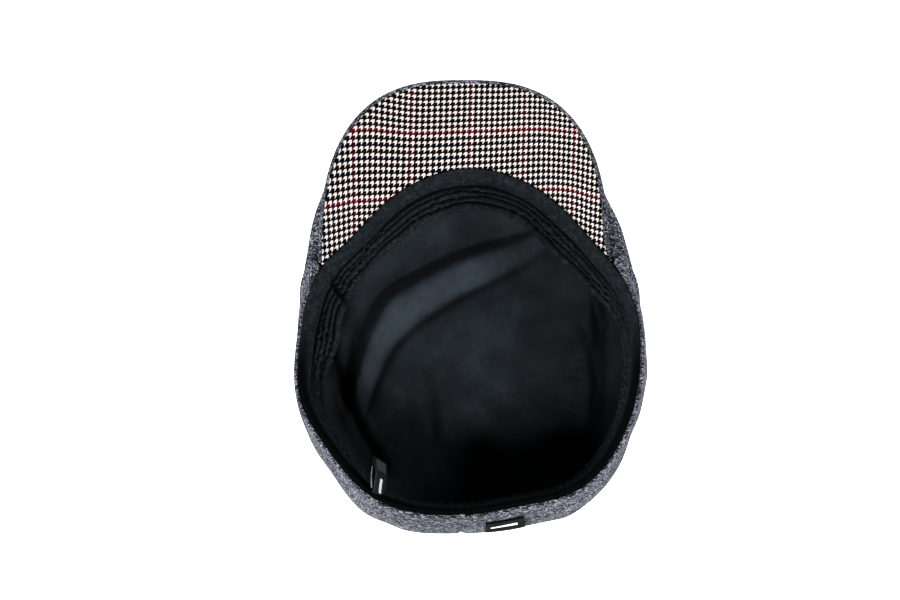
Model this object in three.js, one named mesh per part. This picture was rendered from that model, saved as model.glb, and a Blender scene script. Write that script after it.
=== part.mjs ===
// A flat cap of wool cloth, lying on its crown with the opening up.
// Millimetres, +Z up, +Y toward the peak, +X toward the wearer's left.
// The origin is on the floor, under the middle of the cap.
import * as THREE from "three";

const { clamp, degToRad, euclideanModulo, lerp, smoothstep } = THREE.MathUtils;

// Driving dimensions: lengths in millimetres, bearings and leans in degrees.
// A bearing turns clockwise, seen from above, from the peak round the middle of the opening.
const OPENING_Y = -25.5; // middle of the opening
const WOOL = 1.6; // wool cloth with its backing
const LINING = 1.0; // lining cloth
const SEAM_GAP = 0.4; // between the edges of neighbouring pieces
const HEM = 1.9; // the crown's rim outside the opening
const RIM_SLOPE = 0.225; // rise of the rim toward the back

// The peak: a rounded blade, arched from side to side
const PEAK_TIP_Y = 127.5;
const PEAK_BASE_Y = 20.5;
const PEAK_HALF_WIDTH = 80.5;
const PEAK_X = -3.6; // the blade sits a little to one side
const PEAK_ROUNDNESS = 2.65; // exponent of the outline's superellipse
const PEAK_HEIGHT = 40; // under side, at the middle of the seam with the band
const PEAK_ARCH = 10; // rise of its sides
const PEAK_FALL = 0.05; // fall toward its tip
const PEAK_THICKNESS = 4.2; // blade with the cloth on both sides
const PEAK_UNDER = 1.0; // houndstooth cloth
const PEAK_LIP = 2.4; // turned wool edge that shows round the houndstooth
const PEAK_LIP_SHARE = 0.4; // most of the blade's width that it takes at the corners
const PEAK_SEAT = 0.3; // under the houndstooth
const PEAK_CORNER = { left: 57.5, right: 60 }; // bearing of the corners, to either side of the tip
const PEAK_ROLL = [
  { share: 0.1, rise: 0.1, under: 4.2 },
  { share: 0.6, rise: 0.4, under: 3.9 },
  { share: 1.0, rise: -1.0, under: 2.8 },
]; // the turned edge across the lip: its top over the houndstooth, and its under side below it

// The crown: its edge runs along the rim, stands out round the peak's corners, drops below the peak
// and tucks in under it. The spans are degrees past a corner
const CROWN_TUCK = { inset: 3, from: -20, to: -2 };
const CROWN_DROP = { from: -0.5, to: 6 };
const CROWN_FLARE = { out: 2.6, spread: 7 };
const CROWN_ROLL = 0.2; // least swell beyond the edge
const CROWN_FULLNESS = { side: 0.55, front: 0.3 }; // roundness of the shoulder, 0.55 a quarter ellipse
const FRONT = { full: 35, none: 80 }; // bearings where the front's form ends and the side's starts

// The sweatband and its stitched rows, measured across its width
const BAND_WIDTH = 30;
const BAND_THICKNESS = 2.2;
const BAND_STITCHES = [13, 17, 21.5, 26];
const BAND_GROOVE = 0.9;
const BAND_INSET = 0.5; // inside the opening's edge

// The lining: a wall that hangs from the back of the band, and a floor
const LINING_START = 10; // below the band's upper edge
const LINING_FLOOR = 4.2;
const LINING_FOOT = { out: 11, height: 8 }; // of the side walls, beyond the resting patch
const LINING_FRONT_FOOT = 46; // foot of the sloping front
const LINING_DISH = 3; // how soon the floor falls from the foot, as a power
const LINING_BEND = {
  side: { inset: 2, height: 14 },
  front: { inset: 3, height: 4 },
}; // bend of the wall, from the opening and over the resting surface
const FOLD_SPAN = { from: 0.55, to: 0.95 }; // the folds fade out up the wall
const FOLD_END = 0.3; // share of a fold's length over which it rises from its end

// Seams between the top and side panels, as a station down each profile. They leave the rim at the
// bearing "front", the side panels start at "start", and from "side" on they keep their full depth
const CROWN_SEAM = { front: 38, start: 48.75, side: 82, station: 1.45 };
const LINING_SEAM = { front: 50, start: 56.25, side: 88, station: 1.2 };
const BACK_SEAM = 183; // bearing of the seam at the centre back

// Sections round the cap: opening, the widest part of the crown and its height,
// the patch that rests on the floor, and how far the sweatband leans in
const SECTIONS = [
  { bearing: 0, opening: 101.8, belly: 150.5, bellyHeight: 27, rest: 64, lean: 31 },
  { bearing: 20, opening: 97.7, belly: 145.5, bellyHeight: 27, rest: 64, lean: 26 },
  { bearing: 30, opening: 94.3, belly: 132.5, bellyHeight: 28, rest: 64, lean: 29 },
  { bearing: 40, opening: 91.0, belly: 117.0, bellyHeight: 32, rest: 65, lean: 27 },
  { bearing: 50, opening: 89.6, belly: 109.2, bellyHeight: 37, rest: 66, lean: 24 },
  { bearing: 60, opening: 90.8, belly: 102.4, bellyHeight: 40, rest: 66, lean: 24 },
  { bearing: 75, opening: 92.9, belly: 97.6, bellyHeight: 39, rest: 67, lean: 10 },
  { bearing: 95, opening: 92.7, belly: 97.5, bellyHeight: 38, rest: 68, lean: 5 },
  { bearing: 118, opening: 95.5, belly: 101.8, bellyHeight: 39, rest: 70, lean: 5 },
  { bearing: 142, opening: 98.2, belly: 106.7, bellyHeight: 40, rest: 73, lean: 6 },
  { bearing: 165, opening: 92.0, belly: 102.0, bellyHeight: 40, rest: 73, lean: 6 },
  { bearing: 183, opening: 93.3, belly: 102.0, bellyHeight: 40, rest: 72, lean: 6 },
  { bearing: 210, opening: 98.7, belly: 108.2, bellyHeight: 40, rest: 73, lean: 6 },
  { bearing: 233, opening: 96.2, belly: 101.4, bellyHeight: 40, rest: 72, lean: 9 },
  { bearing: 252, opening: 97.1, belly: 100.6, bellyHeight: 39, rest: 70, lean: 16 },
  { bearing: 272, opening: 93.3, belly: 96.1, bellyHeight: 38, rest: 67, lean: 29 },
  { bearing: 290, opening: 93.4, belly: 100.4, bellyHeight: 39, rest: 66, lean: 31 },
  { bearing: 300, opening: 93.2, belly: 105.3, bellyHeight: 40, rest: 66, lean: 29 },
  { bearing: 310, opening: 90.5, belly: 114.5, bellyHeight: 37, rest: 66, lean: 25 },
  { bearing: 320, opening: 91.2, belly: 125.0, bellyHeight: 32, rest: 65, lean: 26 },
  { bearing: 330, opening: 94.5, belly: 140.5, bellyHeight: 28, rest: 64, lean: 31 },
  { bearing: 340, opening: 97.7, belly: 149.3, bellyHeight: 27, rest: 64, lean: 30 },
];

// Soft folds of the lining: a ridge from one end to the other, bowed sideways by its bend
const FOLDS = [
  { fromX: -66, fromY: -28, toX: 42, toY: 42, bend: 7, rise: 4.5, width: 10 },
  { fromX: -45, fromY: 24, toX: 20, toY: 50, bend: 4, rise: 3.0, width: 7 },
  { fromX: -40, fromY: -52, toX: 44, toY: 6, bend: 6, rise: 2.0, width: 10 },
];

// Finishes
const wool = { color: 0x6d6f77, roughness: 0.95, metalness: 0 };
const houndstooth = { color: 0x8a817c, roughness: 0.9, metalness: 0 };
const bandCloth = { color: 0x15181b, roughness: 0.85, metalness: 0 };
const liningCloth = { color: 0x1d2125, roughness: 0.6, metalness: 0 };
const tagCloth = { color: 0x1b1c1f, roughness: 0.55, metalness: 0 };
const careCloth = { color: 0xc9c9c4, roughness: 0.7, metalness: 0 };
const patchCloth = { color: 0x101113, roughness: 0.8, metalness: 0 };

// Tags sewn to the band: their place on it, their size, and the way they lie
const TAGS = [
  {
    name: "size_label", bearing: 209.5, below: 1, width: 11, length: 17.5,
    thickness: 1.0, roll: 38, sway: 4, finish: tagCloth,
  },
  {
    name: "care_label", bearing: 214, below: 6, width: 13, length: 15,
    thickness: 1.0, roll: 82, sway: -7, finish: careCloth,
  },
];
const TAG_DROOP = 5; // fall of a tag's free end
const TAG_CLEAR = 0.7; // off the band, as a share of the tag's thickness

// The patch on the outside of the back
const PATCH = { bearing: 169.4, span: 12.2, from: 0.25, to: 0.75, thickness: 1.0, standoff: 0.3 };

// Mesh steps
const ROUND_STEPS = [
  { from: 0, to: 45, step: 7.5 },
  { from: 45, to: 75, step: 3.75 },
  { from: 75, to: 285, step: 7.5 },
  { from: 285, to: 315, step: 3.75 },
  { from: 315, to: 360, step: 7.5 },
]; // bearings of the columns round the cap, closer at the corners of the peak
const CROWN_ROWS = 7;
const LINING_TOP_ROWS = 14;
const LINING_SIDE_ROWS = 5;
const LINING_HEM_ROW = 0.9; // the row before the last one, as a share of the way down the side
const PEAK_COLUMNS = 25;
const PEAK_ROWS = 5;
const TAG_COLUMNS = 6;
const PATCH_COLUMNS = 5;
const PATCH_ROWS = 4;
const NORMAL_STEP = 0.01;

const ROUND = ROUND_STEPS.flatMap(({ from, to, step }) => (
  Array.from({ length: (to - from) / step }, (_, k) => from + k * step)
));

// Smooth curves through the columns of the section table, closed round the cap
const sectionNames = Object.keys(SECTIONS[0]).slice(1);
const sectionRows = [...SECTIONS, { ...SECTIONS[0], bearing: 360 }];
const sectionCurve = new THREE.CubicInterpolant(
  sectionRows.map((row) => row.bearing),
  sectionRows.flatMap((row) => sectionNames.map((name) => row[name])),
  sectionNames.length,
);
sectionCurve.settings = { endingStart: THREE.WrapAroundEnding, endingEnd: THREE.WrapAroundEnding };

function sectionAt(bearing) {
  const values = sectionCurve.evaluate(euclideanModulo(bearing, 360));
  return Object.fromEntries(sectionNames.map((name, k) => [name, values[k]]));
}

// Bearing counted from the tip of the peak, positive to the left of the wearer
function fromTip(bearing) {
  return euclideanModulo(bearing + 180, 360) - 180;
}

function place(bearing, radius, height) {
  const angle = degToRad(bearing);
  return new THREE.Vector3(radius * Math.sin(angle), OPENING_Y + radius * Math.cos(angle), height);
}

// Height of the peak's under side
function peakHeight(x, y) {
  const seamY = OPENING_Y + SECTIONS[0].opening;
  return PEAK_HEIGHT + PEAK_ARCH * ((x - PEAK_X) / PEAK_HALF_WIDTH) ** 2 - PEAK_FALL * (y - seamY);
}

// Radius of the peak's outline, where a ray from the middle of the opening crosses it
function peakOutline(bearing) {
  const depth = PEAK_TIP_Y - PEAK_BASE_Y;
  let inside = 0;
  let outside = 2 * depth;
  for (let step = 0; step < 40; step += 1) {
    const radius = (inside + outside) / 2;
    const { x, y } = place(bearing, radius, 0);
    const across = Math.abs((x - PEAK_X) / PEAK_HALF_WIDTH) ** PEAK_ROUNDNESS;
    const along = Math.max(0, (y - PEAK_BASE_Y) / depth) ** PEAK_ROUNDNESS;
    if (across + along < 1) inside = radius;
    else outside = radius;
  }
  return inside;
}

// How far a bearing lies past the nearer corner of the peak
function pastCorner(bearing) {
  const turn = fromTip(bearing);
  return Math.abs(turn) - (turn > 0 ? PEAK_CORNER.left : PEAK_CORNER.right);
}

// Height of the opening's edge: along the peak's under side, then up a slope to the back
function rimHeight(bearing) {
  const turn = fromTip(bearing);
  const corner = turn > 0 ? PEAK_CORNER.left : -PEAK_CORNER.right;
  const seamTurn = pastCorner(bearing) > 0 ? corner : turn;
  const seam = place(seamTurn, sectionAt(seamTurn).opening, 0);
  const here = place(bearing, sectionAt(bearing).opening, 0);
  return peakHeight(seam.x, seam.y) + RIM_SLOPE * (seam.y - here.y);
}

// The crown's edge: the rim round the back, out past the peak's corners, and under the peak in front
function crownEdge(bearing) {
  const past = pastCorner(bearing);
  const tuck = 1 - smoothstep(past, CROWN_TUCK.from, CROWN_TUCK.to);
  const drop = 1 - smoothstep(past, CROWN_DROP.from, CROWN_DROP.to);
  const flare = CROWN_FLARE.out * Math.exp(-((past / CROWN_FLARE.spread) ** 2));
  const rim = sectionAt(bearing).opening + HEM + flare;
  const radius = tuck > 0 ? lerp(rim, peakOutline(bearing) - CROWN_TUCK.inset, tuck) : rim;
  const { x, y } = place(bearing, radius, 0);
  const underPeak = peakHeight(x, y) - PEAK_THICKNESS - SEAM_GAP;
  return { radius, height: lerp(rimHeight(bearing), underPeak, drop) };
}

// 1 in front of the cap, 0 at its sides and back
function frontness(bearing) {
  return 1 - smoothstep(Math.abs(fromTip(bearing)), FRONT.full, FRONT.none);
}

// Point on the crown's outer face. Stations: 0 edge, 1 widest part, 2 rim of the resting patch, 3 its middle
function crownPoint(bearing, station) {
  const { belly, bellyHeight, rest } = sectionAt(bearing);
  const edge = crownEdge(bearing);
  const widest = Math.max(belly, edge.radius + CROWN_ROLL);
  if (station <= 1) {
    const radius = lerp(edge.radius, widest, Math.sin((station * Math.PI) / 2));
    return place(bearing, radius, lerp(edge.height, bellyHeight, station));
  }
  if (station >= 2) return place(bearing, rest * (3 - station), 0);
  const fullness = lerp(CROWN_FULLNESS.side, CROWN_FULLNESS.front, frontness(bearing));
  const shoulder = new THREE.CubicBezierCurve(
    new THREE.Vector2(widest, bellyHeight),
    new THREE.Vector2(widest, bellyHeight * (1 - fullness)),
    new THREE.Vector2(lerp(rest, widest, fullness), 0),
    new THREE.Vector2(rest, 0),
  );
  const { x, y } = shoulder.getPoint(station - 1);
  return place(bearing, x, y);
}

// The sweatband's upper edge, its way down its width, and its normal, in radius and height
function bandFrame(bearing) {
  const { opening, lean } = sectionAt(bearing);
  const angle = degToRad(lean);
  return {
    top: new THREE.Vector2(opening - BAND_INSET, rimHeight(bearing)),
    down: new THREE.Vector2(-Math.sin(angle), -Math.cos(angle)),
    out: new THREE.Vector2(-Math.cos(angle), Math.sin(angle)),
  };
}

function bandPoint(bearing, across, depth) {
  const { top, down, out } = bandFrame(bearing);
  const { x, y } = top.addScaledVector(down, across).addScaledVector(out, depth);
  return place(bearing, x, y);
}

// Height of the lining's folds above its floor
function foldHeight(x, y) {
  let height = 0;
  for (const fold of FOLDS) {
    const from = new THREE.Vector2(fold.fromX, fold.fromY);
    const along = new THREE.Vector2(fold.toX, fold.toY).sub(from);
    const length = along.length();
    along.normalize();
    const offset = new THREE.Vector2(x, y).sub(from);
    const share = clamp(offset.dot(along) / length, 0, 1);
    const aside = along.cross(offset) - fold.bend * 4 * share * (1 - share);
    const fade = smoothstep(share, 0, FOLD_END) * (1 - smoothstep(share, 1 - FOLD_END, 1));
    height += fold.rise * fade * Math.exp(-((aside / fold.width) ** 2));
  }
  return height;
}

// Point on the lining's inner face. Stations: 0 behind the band, 1 foot of the wall, 2 middle of the floor
function liningPoint(bearing, station) {
  const { opening, rest } = sectionAt(bearing);
  const front = frontness(bearing);
  const { top, down, out } = bandFrame(bearing);
  const start = top.addScaledVector(down, LINING_START).addScaledVector(out, -SEAM_GAP);
  const foot = new THREE.Vector2(
    lerp(rest + LINING_FOOT.out, LINING_FRONT_FOOT, front),
    lerp(LINING_FOOT.height, LINING_FLOOR, front),
  );
  const bend = new THREE.Vector2(
    opening - lerp(LINING_BEND.side.inset, LINING_BEND.front.inset, front),
    lerp(LINING_BEND.side.height, LINING_BEND.front.height, front),
  );
  const wall = new THREE.QuadraticBezierCurve(start, bend, foot);
  const outward = 2 - station;
  const { x: radius, y: height } = station < 1 ? wall.getPoint(station) : new THREE.Vector2(
    foot.x * outward,
    lerp(LINING_FLOOR, foot.y, Math.max(0, outward) ** LINING_DISH),
  );
  const point = place(bearing, radius, height);
  point.z += foldHeight(point.x, point.y) * smoothstep(station, FOLD_SPAN.from, FOLD_SPAN.to);
  return point;
}

// A point moved from a surface to its other side, through the thickness of the cloth
function through(surface, bearing, station, depth) {
  const step = (turn, down) => surface(bearing + turn * NORMAL_STEP, station + down * NORMAL_STEP);
  const round = step(1, 0).sub(step(-1, 0));
  const along = step(0, 1).sub(step(0, -1));
  const normal = round.cross(along).normalize();
  return surface(bearing, station).addScaledVector(normal, depth);
}

// Stations spread evenly from one to another
function spread(from, to, count) {
  return Array.from({ length: count }, (_, k) => lerp(from, to, k / (count - 1)));
}

// A closed solid from four-cornered faces; equal points are shared and empty faces dropped
function solid(faces) {
  const numbers = new Map();
  const positions = [];
  const index = [];
  const vertex = (point) => {
    const key = point.toArray().map((value) => value.toFixed(4)).join();
    if (!numbers.has(key)) {
      numbers.set(key, numbers.size);
      positions.push(...point.toArray());
    }
    return numbers.get(key);
  };
  for (const face of faces) {
    const [a, b, c, d] = face.map(vertex);
    for (const triangle of [[a, b, c], [a, c, d]]) {
      if (new Set(triangle).size === 3) index.push(...triangle);
    }
  }
  const geometry = new THREE.BufferGeometry();
  geometry.setAttribute("position", new THREE.Float32BufferAttribute(positions, 3));
  geometry.setIndex(index);
  geometry.computeVertexNormals();
  return geometry;
}

// A sheet of cloth: each column holds a row of points on its face and a row on its back
function sheet(columns, closed) {
  const faces = [];
  const count = columns.length;
  const end = columns[0].face.length - 1;
  for (let i = 0; i < (closed ? count : count - 1); i += 1) {
    const a = columns[i];
    const b = columns[(i + 1) % count];
    for (let j = 0; j < end; j += 1) {
      faces.push([a.face[j], b.face[j], b.face[j + 1], a.face[j + 1]]);
      faces.push([b.back[j], a.back[j], a.back[j + 1], b.back[j + 1]]);
    }
    faces.push([a.back[0], b.back[0], b.face[0], a.face[0]]);
    faces.push([a.face[end], b.face[end], b.back[end], a.back[end]]);
  }
  if (!closed) {
    const [first, last] = [columns[0], columns[count - 1]];
    for (let j = 0; j < end; j += 1) {
      faces.push([first.face[j], first.face[j + 1], first.back[j + 1], first.back[j]]);
      faces.push([last.back[j], last.back[j + 1], last.face[j + 1], last.face[j]]);
    }
  }
  return solid(faces);
}

// A column of a panel cut from a surface; a negative depth puts the cloth's back inside the surface
function panelColumn(surface, bearing, stations, depth) {
  const points = stations.map((station) => surface(bearing, station));
  const moved = stations.map((station) => through(surface, bearing, station, depth));
  const middle = points.at(-1);
  if (Math.hypot(middle.x, middle.y - OPENING_Y) < NORMAL_STEP) {
    moved[moved.length - 1] = middle.clone().setZ(middle.z - depth);
  }
  return depth < 0 ? { face: points, back: moved } : { face: moved, back: points };
}

// Station of a panel seam, and a station moved along the profile by a distance
function seamStation(seam, bearing) {
  return seam.station * smoothstep(Math.abs(fromTip(bearing)), seam.front, seam.side);
}

function along(surface, bearing, station, distance) {
  const speed = surface(bearing, station + NORMAL_STEP).distanceTo(surface(bearing, station));
  return station + (distance * NORMAL_STEP) / speed;
}

// The top panel of a crown or lining, from its seam or the front edge to the middle
function topPanel(surface, depth, seam, stationsFrom) {
  const columns = ROUND.map((bearing) => {
    const inFront = Math.abs(fromTip(bearing)) < seam.start;
    const start = inFront ? 0 : along(surface, bearing, seamStation(seam, bearing), SEAM_GAP / 2);
    return panelColumn(surface, bearing, stationsFrom(start), depth);
  });
  return sheet(columns, true);
}

// A side panel, from the rim to its seam, between the peak and the centre back
function sidePanel(surface, depth, seam, side, stationsTo) {
  const halfGap = THREE.MathUtils.radToDeg(SEAM_GAP / 2 / SECTIONS[0].opening);
  const turns = ROUND.filter((bearing) => (
    side === "left"
      ? bearing >= seam.start && bearing < BACK_SEAM
      : bearing > BACK_SEAM && bearing <= 360 - seam.start
  ));
  if (side === "left") turns.push(BACK_SEAM - halfGap);
  else turns.unshift(BACK_SEAM + halfGap);
  const columns = turns.map((bearing) => {
    const end = along(surface, bearing, seamStation(seam, bearing), -SEAM_GAP / 2);
    return panelColumn(surface, bearing, stationsTo(end), depth);
  });
  return sheet(columns, false);
}

function crownTop() {
  return topPanel(crownPoint, -WOOL, CROWN_SEAM, (start) => [...spread(start, 2, CROWN_ROWS), 2.5, 3]);
}

function crownSide(side) {
  return sidePanel(crownPoint, -WOOL, CROWN_SEAM, side, (end) => spread(0, end, CROWN_ROWS));
}

function liningTop() {
  return topPanel(liningPoint, LINING, LINING_SEAM, (start) => spread(start, 2, LINING_TOP_ROWS));
}

function liningSide(side) {
  const stationsTo = (end) => [
    ...spread(0, Math.min(1, LINING_HEM_ROW * end), LINING_SIDE_ROWS),
    end,
  ];
  return sidePanel(liningPoint, LINING, LINING_SEAM, side, stationsTo);
}

// Radii of the peak's inner edge and of the seat of its houndstooth, and the width of its turned edge
function peakRadii(bearing) {
  const inner = sectionAt(bearing).opening + SEAM_GAP;
  const outer = peakOutline(bearing);
  const lip = Math.min(PEAK_LIP, PEAK_LIP_SHARE * (outer - inner));
  return { inner, lip, seat: outer - lip };
}

function peakPoint(bearing, radius, below) {
  const point = place(bearing, radius, 0);
  point.z = peakHeight(point.x, point.y) - below;
  return point;
}

function peakColumns(column) {
  return spread(-PEAK_CORNER.right, PEAK_CORNER.left, PEAK_COLUMNS).map(column);
}

// The wool-covered blade, whose turned edge stands up round the houndstooth
function peakBlade() {
  const floor = PEAK_UNDER + PEAK_SEAT;
  const columns = peakColumns((bearing) => {
    const { inner, lip, seat } = peakRadii(bearing);
    const rows = spread(inner, seat, PEAK_ROWS);
    return {
      face: [
        ...rows.map((radius) => peakPoint(bearing, radius, floor)),
        ...PEAK_ROLL.map(({ share, rise }) => peakPoint(bearing, seat + share * lip, -rise)),
      ],
      back: [
        ...rows.map((radius) => peakPoint(bearing, radius, PEAK_THICKNESS)),
        ...PEAK_ROLL.map(({ share, under }) => peakPoint(bearing, seat + share * lip, under)),
      ],
    };
  });
  return sheet(columns, false);
}

// The houndstooth cloth that lies inside the turned edge
function peakUnder() {
  const columns = peakColumns((bearing) => {
    const { inner, seat } = peakRadii(bearing);
    const rows = spread(inner, seat - Math.min(SEAM_GAP, 0.2 * (seat - inner)), PEAK_ROWS);
    return {
      face: rows.map((radius) => peakPoint(bearing, radius, 0)),
      back: rows.map((radius) => peakPoint(bearing, radius, PEAK_UNDER)),
    };
  });
  return sheet(columns, false);
}

// The band, with a groove at each stitched row and thinner folded edges
function sweatband() {
  const edges = [0, ...BAND_STITCHES, BAND_WIDTH];
  const rows = edges.flatMap((at, k) => (k === 0 ? [at] : [(edges[k - 1] + at) / 2, at]));
  const depths = rows.map((at) => (edges.includes(at) ? BAND_THICKNESS - BAND_GROOVE : BAND_THICKNESS));
  const columns = ROUND.map((bearing) => ({
    face: rows.map((at) => bandPoint(bearing, at, 0)),
    back: rows.map((at, row) => bandPoint(bearing, at, depths[row])),
  }));
  return sheet(columns, true);
}

// A sewn tag: a strip that stands in from the band toward the peak and droops
function sewnTag({ bearing, below, width, length, thickness, roll, sway }) {
  const base = bandPoint(bearing, below, BAND_THICKNESS + SEAM_GAP + TAG_CLEAR * thickness);
  const round = place(bearing + NORMAL_STEP, 1, 0).sub(place(bearing, 1, 0)).normalize();
  const across = round.multiplyScalar(Math.cos(degToRad(roll)));
  across.z = Math.sin(degToRad(roll));
  const inward = new THREE.Vector3(Math.sin(degToRad(sway)), Math.cos(degToRad(sway)), 0);
  const normal = across.clone().cross(inward).normalize();
  const columns = spread(0, 1, TAG_COLUMNS).map((share) => {
    const middle = base.clone().addScaledVector(inward, length * share);
    middle.z -= TAG_DROOP * share ** 2;
    const row = (side) => [0.5, -0.5].map((end) => (
      middle.clone().addScaledVector(across, width * end).addScaledVector(normal, (side * thickness) / 2)
    ));
    return { face: row(1), back: row(-1) };
  });
  return sheet(columns, false);
}

// The patch, laid on the crown's outer face
function backPatch() {
  const { bearing, span, from, to, thickness, standoff } = PATCH;
  const columns = spread(bearing - span / 2, bearing + span / 2, PATCH_COLUMNS).map((turn) => {
    const rows = spread(from, to, PATCH_ROWS);
    return {
      face: rows.map((station) => through(crownPoint, turn, station, standoff + thickness)),
      back: rows.map((station) => through(crownPoint, turn, station, standoff)),
    };
  });
  return sheet(columns, false);
}

function mesh(name, geometry, finish) {
  const piece = new THREE.Mesh(geometry, new THREE.MeshStandardMaterial(finish));
  piece.name = name;
  return piece;
}

const cap = new THREE.Group();
cap.add(mesh("crown_top", crownTop(), wool));
cap.add(mesh("lining_top", liningTop(), liningCloth));
for (const side of ["left", "right"]) {
  cap.add(mesh(`crown_side_${side}`, crownSide(side), wool));
  cap.add(mesh(`lining_side_${side}`, liningSide(side), liningCloth));
}
cap.add(mesh("peak", peakBlade(), wool));
cap.add(mesh("peak_under", peakUnder(), houndstooth));
cap.add(mesh("sweatband", sweatband(), bandCloth));
for (const tag of TAGS) {
  cap.add(mesh(tag.name, sewnTag(tag), tag.finish));
}
cap.add(mesh("back_patch", backPatch(), patchCloth));

export default cap;
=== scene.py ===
import math

import bmesh
import bpy
import numpy as np
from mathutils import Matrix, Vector


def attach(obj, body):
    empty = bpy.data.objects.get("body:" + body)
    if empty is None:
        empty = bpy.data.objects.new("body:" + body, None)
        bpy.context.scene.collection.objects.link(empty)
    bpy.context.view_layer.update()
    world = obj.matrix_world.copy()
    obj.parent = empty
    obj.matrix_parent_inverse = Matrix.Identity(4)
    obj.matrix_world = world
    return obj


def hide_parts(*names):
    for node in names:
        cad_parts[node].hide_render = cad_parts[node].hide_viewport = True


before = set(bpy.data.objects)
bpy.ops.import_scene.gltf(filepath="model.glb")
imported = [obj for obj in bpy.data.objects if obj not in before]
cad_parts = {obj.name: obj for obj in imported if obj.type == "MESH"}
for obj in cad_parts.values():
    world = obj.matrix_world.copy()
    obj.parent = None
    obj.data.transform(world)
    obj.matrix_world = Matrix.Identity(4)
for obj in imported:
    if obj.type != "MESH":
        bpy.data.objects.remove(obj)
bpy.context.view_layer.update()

# Stage: a plain white floor and soft light, most of it from behind the cap's right shoulder.
# The camera looks down into the opening from a little behind the cap.
MM = 0.001
CAMERA_PLACE = (-11.4, -159.6, 1355.3)
CAMERA_LEAN = 7
CAMERA_LENS = 95.4
FLOOR_SIZE = 6000
FLOOR_DROP = 0.2
FLOOR_PALE = (0.9, 0.9, 0.9, 1)
WHITE = (1, 1, 1, 1)
FLOOR_GLOW = 0.93
SKY_LIGHT = 0.08
CONTRAST = 0.8
LIGHT_DISTANCE = 1500
LIGHTS = [
    {"name": "key", "toward": (-0.33, -0.7, 0.95), "size": 420, "power": 31},
    {"name": "right_fill", "toward": (0.95, 0.05, 0.6), "size": 500, "power": 22},
    {"name": "left_fill", "toward": (-1.0, 0.25, 0.16), "size": 500, "power": 18},
]

scene = bpy.context.scene
scene.view_settings.view_transform = "Standard"
scene.view_settings.gamma = CONTRAST
camera_data = bpy.data.cameras.new("camera")
camera_data.lens = CAMERA_LENS
camera = bpy.data.objects.new("camera", camera_data)
camera.location = Vector(CAMERA_PLACE) * MM
camera.rotation_euler = (math.radians(CAMERA_LEAN), 0, 0)
scene.collection.objects.link(camera)
scene.camera = camera

for row in LIGHTS:
    lamp_data = bpy.data.lights.new(row["name"], "AREA")
    lamp_data.size = row["size"] * MM
    lamp_data.energy = row["power"]
    lamp = bpy.data.objects.new(row["name"], lamp_data)
    lamp.location = Vector(row["toward"]).normalized() * LIGHT_DISTANCE * MM
    lamp.rotation_euler = Vector(row["toward"]).to_track_quat("Z", "Y").to_euler()
    scene.collection.objects.link(lamp)

world = bpy.data.worlds.new("studio")
world.use_nodes = True
sky = world.node_tree.nodes["Background"]
sky.inputs["Color"].default_value = WHITE
rays = world.node_tree.nodes.new("ShaderNodeLightPath")
strength = world.node_tree.nodes.new("ShaderNodeMapRange")
strength.inputs["To Min"].default_value = SKY_LIGHT
world.node_tree.links.new(rays.outputs["Is Camera Ray"], strength.inputs["Value"])
world.node_tree.links.new(strength.outputs["Result"], sky.inputs["Strength"])
scene.world = world

floor_material = bpy.data.materials.new("floor")
floor_material.use_nodes = True
floor_surface = floor_material.node_tree.nodes["Principled BSDF"]
floor_surface.inputs["Base Color"].default_value = FLOOR_PALE
floor_surface.inputs["Roughness"].default_value = 1
floor_surface.inputs["Emission Color"].default_value = WHITE
floor_surface.inputs["Emission Strength"].default_value = FLOOR_GLOW
half = FLOOR_SIZE / 2
floor_corners = [(-half, -half), (half, -half), (half, half), (-half, half)]
floor_mesh = bpy.data.meshes.new("floor")
floor_mesh.from_pydata([(x * MM, y * MM, -FLOOR_DROP * MM) for x, y in floor_corners], [], [(0, 1, 2, 3)])
floor_mesh.materials.append(floor_material)
floor = bpy.data.objects.new("floor", floor_mesh)
scene.collection.objects.link(floor)


# Peak: a stiff rounded blade, arched from side to side and wrapped in the crown's wool.
# The wool is turned over its edge and shows as a narrow lip round the cloth of the under side.
# Lengths are millimetres. Bearings are degrees, clockwise from the tip, round the middle of the opening.
OPENING_Y = -25.5
OPENING = [
    (0, 101.8), (20, 97.7), (30, 94.3), (40, 91.0), (50, 89.6), (60, 90.8), (75, 92.9), (95, 92.7),
    (118, 95.5), (142, 98.2), (165, 92.0), (183, 93.3), (210, 98.7), (233, 96.2), (252, 97.1),
    (272, 93.3), (290, 93.4), (300, 93.2), (310, 90.5), (320, 91.2), (330, 94.5), (340, 97.7),
]
PEAK_TIP_Y = 127.5
PEAK_BASE_Y = 20.5
PEAK_HALF_WIDTH = 80.5
PEAK_X = -3.6
PEAK_ROUNDNESS = 2.65
PEAK_HEIGHT = 40
PEAK_ARCH = 10
PEAK_FALL = 0.05
PEAK_THICKNESS = 4.2
PEAK_SEAT = 1.3
PEAK_LIP = 2.4
PEAK_LIP_SHARE = 0.5
PEAK_LIP_WIDER = {"by": 1.8, "from": 22, "to": 48}
PEAK_CORNER = {"left": 57.5, "right": 60}
PEAK_END = {"past": 0.8, "thins": -0.8, "to": 0.25}
LIP_TOP = [(0, -0.6), (0.12, 0.0), (0.35, 0.45), (0.6, 0.35), (0.8, -0.3), (0.92, -1.2)]
LIP_UNDER = [(0, 4.2), (0.35, 4.15), (0.6, 3.9), (0.8, 3.4), (0.92, 2.6)]
SEAM_GAP = 0.4
PEAK_COLUMNS = 180
BLADE_ROWS = 20
LIP_ROWS = 14
OUTLINE_HALVINGS = 40
EDGE_STEPS = 4
WOOL_FLECK = 1050
WOOL_STRAND = (360, 1250, 1250)
WOOL_STRAND_TURNS = (0.5, -0.9)
WOOL_CLOUD = 60
WOOL_TONES = [(0.47, "0c0d10"), (0.6, "3d4047"), (0.74, "a1a4ae")]


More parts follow.
